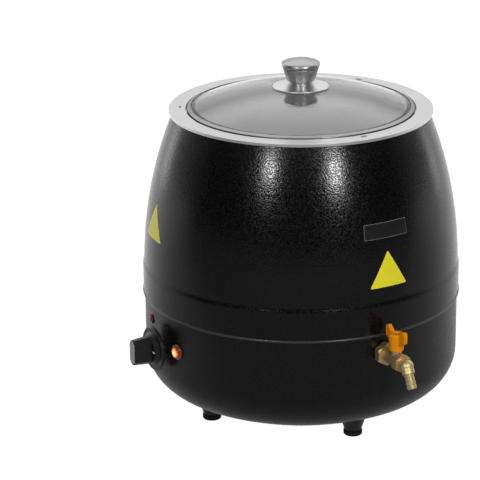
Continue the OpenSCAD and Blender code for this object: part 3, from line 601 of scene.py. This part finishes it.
def cut_sheet(outline):
    """A flat sheet inside an outline, cut along a grid so that it can bend."""
    sheet = bmesh.new()
    sheet.faces.new([sheet.verts.new((*point, 0)) for point in outline])
    for axis in (0, 1):
        low = min(point[axis] for point in outline)
        high = max(point[axis] for point in outline)
        count = max(2, round((high - low) / SHEET_GRID))
        normal = Vector((1 - axis, axis, 0))
        for step in range(1, count):
            place = normal * (low + (high - low) * step / count)
            bmesh.ops.bisect_plane(sheet, geom=everything(sheet), plane_co=place, plane_no=normal)
    return sheet


def wrapped_sticker(name, outline, place, thickness, material, lift=STICKER_LIFT):
    """A thin sheet cut to an outline and laid on the upper casing, at an angle and a height."""
    angle, z = place
    casing = NODES["upper_casing"].data
    wall = BVHTree.FromPolygons([v.co for v in casing.vertices], [p.vertices for p in casing.polygons])
    sheet = cut_sheet(outline)
    radius = wall.ray_cast(polar(angle, 1, z), -polar(angle, 1, 0))[0].xy.length
    for vertex in sheet.verts:
        here = angle + math.degrees(vertex.co.x / radius)
        point, normal = wall.ray_cast(polar(here, 1, z + vertex.co.y), -polar(here, 1, 0))[:2]
        vertex.co = point + normal * lift
    bmesh.ops.recalc_face_normals(sheet, faces=sheet.faces)
    if sum(face.normal.dot(face.calc_center_median()) for face in sheet.faces) < 0:
        bmesh.ops.reverse_faces(sheet, faces=sheet.faces)
    return add_piece(name, sheet, material, "housing", smooth=False, thickness=thickness)


def add_triangles():
    """The two plain yellow triangles."""
    x, y = TRIANGLE_SIDE / 2, TRIANGLE_HEIGHT / 2
    outline = rounded([(-x, -y), (x, -y), (0, y)], TRIANGLE_CORNER)
    yellow = sticker_yellow()
    wrapped_sticker("triangle_front", outline, FRONT_TRIANGLE, STICKER_T, yellow)
    wrapped_sticker("triangle_left", outline, LEFT_TRIANGLE, STICKER_T, yellow)


def plate_outline(margin):
    """The plate's rounded rectangle, smaller by a margin all round."""
    x, y = PLATE_WIDTH / 2 - margin, PLATE_HEIGHT / 2 - margin
    return rounded([(-x, -y), (x, -y), (x, y), (-x, y)], PLATE_CORNER)


def add_plate():
    """The bare plate: a black sheet on a wider grey one, which shows as its edge."""
    half_t = PLATE_T / 2
    over_edge = STICKER_LIFT + half_t + PLATE_GAP
    wrapped_sticker("plate_edge", plate_outline(0.0), PLATE_PLACE, half_t, plate_grey())
    wrapped_sticker("bare_plate", plate_outline(PLATE_EDGE), PLATE_PLACE, half_t, plate_black(), over_edge)


# ---- Small marks and trim that the photograph shows ----


def add_flange_nibs():
    """Three shallow pressed nibs on the pot's flange, long along the rim, in a dark steel that paints the
    shade of the pressing.
    """
    # painted shade: the nibs take a steel far darker than the flange's, standing in for the shade round each
    # pressing
    steel = knob_steel("nib_steel", 0.12, 0.18)
    flange_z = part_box("inner_pot")[1][2]
    for angle in NIB_ANGLES:
        dome = bmesh.new()
        bmesh.ops.create_uvsphere(dome, u_segments=NIB_SEGMENTS, v_segments=NIB_RINGS, radius=1)
        bmesh.ops.bisect_plane(dome, geom=everything(dome), plane_co=(0, 0, 0), plane_no=UP, clear_inner=True)
        bmesh.ops.holes_fill(dome, edges=[edge for edge in dome.edges if edge.is_boundary])
        place = Matrix.Translation(polar(angle, NIB_RADIUS, flange_z + NIB_LIFT))
        place = place @ Matrix.Rotation(math.radians(angle), 4, "Z") @ Matrix.Diagonal((*NIB_HALF_SIZE, 1))
        bmesh.ops.transform(dome, matrix=place, verts=dome.verts)
        bmesh.ops.recalc_face_normals(dome, faces=dome.faces)
        add_piece(f"flange_nib_{angle}", dome, steel, "pot")


def add_index_mark():
    """The dial's short white index line, beside the grip."""
    bar = bmesh.new()
    bmesh.ops.create_cube(bar, size=1)
    bmesh.ops.bevel(bar, geom=bar.edges[:], offset=INDEX_BEVEL_SHARE, segments=2, affect="EDGES")
    place = Matrix.Rotation(DIAL_TURN, 4, "Z") @ Matrix.Translation((INDEX_OUT, INDEX_SIDE, DIAL_Z))
    bmesh.ops.transform(bar, matrix=place @ Matrix.Diagonal((*INDEX_SIZE, 1)), verts=bar.verts)
    add_piece("index_mark", bar, index_white(), "control_knob")


def add_seam_edge():
    """The upper casing's rolled edge, which catches a thin line of light above the seam; its coat adds a
    painted highlight.
    """
    roll = bmesh.new()
    rings = []
    for i in range(SEAM_SEGMENTS):
        ring = []
        for j in range(SEAM_SECTION):
            turn = 2 * math.pi * j / SEAM_SECTION
            radius = SEAM_RADIUS + SEAM_HALF_WIDTH * math.cos(turn)
            z = SEAM_Z + SEAM_HALF_HEIGHT * math.sin(turn)
            ring.append(roll.verts.new(polar(360 * i / SEAM_SEGMENTS, radius, z)))
        rings.append(ring)
    for i, ring in enumerate(rings):
        bridge(roll, ring, rings[(i + 1) % SEAM_SEGMENTS])
    bmesh.ops.recalc_face_normals(roll, faces=roll.faces)
    add_piece("seam_edge", roll, seam_coat(), "housing")


def add_amber_cap(material):
    """The amber lamp's domed cap with its stepped rim, turned round the lamp's axis."""
    outward = polar(AMBER_ANGLE, 1, 0)
    across = polar(AMBER_ANGLE + 90, 1, 0)
    seat = polar(AMBER_ANGLE, AMBER_SEAT, AMBER_Z)
    turns = [2 * math.pi * i / AMBER_SEGMENTS for i in range(AMBER_SEGMENTS)]
    spokes = [across * math.cos(turn) + UP * math.sin(turn) for turn in turns]
    dome = bmesh.new()
    rings = []
    for radius, height in AMBER_PROFILE:
        rings.append([dome.verts.new(seat + outward * height + spoke * radius) for spoke in spokes])
    for low, high in zip(rings, rings[1:]):
        bridge(dome, low, high)
    tip = dome.verts.new(seat + outward * AMBER_TIP)
    for i, vertex in enumerate(rings[-1]):
        dome.faces.new((vertex, rings[-1][(i + 1) % AMBER_SEGMENTS], tip))
    dome.faces.new(rings[0])
    bmesh.ops.recalc_face_normals(dome, faces=dome.faces)
    cap = add_piece("amber_cap", dome, material, "housing")
    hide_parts("amber_lens")


# ---- Stage, light and camera ----


def make_camera():
    """The photograph's camera, turned off its aim so that AIM_POINT falls on AIM_PX."""
    data = bpy.data.cameras.new("camera")
    data.sensor_width = SENSOR_MM
    data.lens = FOCAL_PX / IMAGE_PX * SENSOR_MM
    data.clip_start, data.clip_end = CLIP_NEAR, CLIP_FAR
    camera = new_object("camera", data)
    towards = Vector((0, math.cos(CAMERA_ELEVATION), -math.sin(CAMERA_ELEVATION)))
    level = Euler((math.pi / 2 - CAMERA_ELEVATION, 0, 0)).to_matrix()
    yaw = math.atan((AIM_PX[0] - IMAGE_PX / 2) / FOCAL_PX)
    pitch = math.atan((AIM_PX[1] - IMAGE_PX / 2) / FOCAL_PX)
    turn = level @ Matrix.Rotation(yaw, 3, "Y") @ Matrix.Rotation(pitch, 3, "X")
    camera.matrix_world = Matrix.Translation(AIM_POINT - towards * CAMERA_DISTANCE) @ turn.to_4x4()
    bpy.context.scene.camera = camera


def make_world():
    """White to look at and dimmer to light with. Mirrors see a room that is dark in front, under a ceiling.

    The ceiling is dimmer in front too, but brightest for what is seen through the lid's glass.
    """
    world = bpy.data.worlds.new("studio")
    bpy.context.scene.world = world
    world.use_nodes = True
    sky = Nodes(world.node_tree)
    direction = sky.add("SeparateXYZ", Vector=sky.add("TexCoord").outputs["Generated"]).outputs
    path = sky.add("LightPath").outputs
    glow = sky.scaled(direction["Z"], 0.0, CEILING_GLOW, *CEILING_SPAN_Z)
    share = sky.scaled(direction["Y"], CEILING_FRONT_SHARE, 1.0, *CEILING_SPAN_Y)
    through_lid = sky.calc("MULTIPLY", path["Is Transmission Ray"], UNDER_LID_SHARE)
    ceiling = sky.calc("MULTIPLY", glow, sky.calc("MAXIMUM", share, through_lid))
    walls = sky.scaled(direction["Y"], ROOM_FRONT, 1.0, *ROOM_SPAN_Y)
    room = sky.calc("MAXIMUM", walls, ceiling)
    seen = sky.calc("MAXIMUM", path["Is Camera Ray"], room)
    strength = sky.add("Mix", Factor=sky.seen_directly(), A=FILL_LEVEL, B=seen).outputs["Result"]
    background = sky.add("Background", Strength=strength)
    sky.add("OutputWorld", Surface=background.outputs[0])


def make_floor():
    """A floor that looks as white as the world and still takes the kettle's shadow."""
    mesh = bpy.data.meshes.new("floor")
    corners = [(x * FLOOR_HALF, y * FLOOR_HALF, 0) for x, y in ((-1, -1), (1, -1), (1, 1), (-1, 1))]
    mesh.from_pydata(corners, [], [(0, 1, 2, 3)])
    tone = (FLOOR_TONE, FLOOR_TONE, FLOOR_TONE, 1)
    look = Shader("floor_pale", Base_Color=tone, Roughness=1.0, Specular_IOR_Level=0.0)
    look.put(look.bsdf, "Emission Color", (1, 1, 1, 1))
    along_y = look.add("SeparateXYZ", Vector=look.coords).outputs["Y"]
    fade = look.scaled(along_y, FLOOR_FRONT_SHARE, 1.0, *FLOOR_SPAN_Y)
    share = look.calc("MAXIMUM", fade, look.add("LightPath").outputs["Is Camera Ray"])
    glow = look.calc("MULTIPLY", look.calc("MULTIPLY", look.seen_directly(), share), FLOOR_GLOW)
    look.put(look.bsdf, "Emission Strength", glow)
    mesh.materials.append(look.material)
    new_object("floor", mesh)


def add_lamp(name, azimuth, elevation, width, height, radiance):
    """A rectangular lamp that faces the kettle and that the camera doesn't see."""
    data = bpy.data.lights.new(name, "AREA")
    data.shape = "RECTANGLE"
    data.size, data.size_y = width, height
    data.energy = radiance * math.pi * width * height
    lamp = new_object(name, data)
    lamp.visible_camera = False
    rise = math.radians(elevation)
    back = polar(azimuth, math.cos(rise), math.sin(rise))
    facing = back.to_track_quat("Z", "Y").to_matrix().to_4x4()
    lamp.matrix_world = Matrix.Translation(AIM_POINT + back * LAMP_DISTANCE) @ facing


def main():
    """Builds the stage and the looks."""
    bpy.context.scene.view_settings.view_transform = "Standard"
    make_camera()
    make_world()
    make_floor()
    for name, setting in LAMPS.items():
        add_lamp(name, *setting)
    made = dress_cad_nodes()
    add_triangles()
    add_plate()
    add_flange_nibs()
    add_index_mark()
    add_seam_edge()
    add_amber_cap(made["amber_lens"])


main()
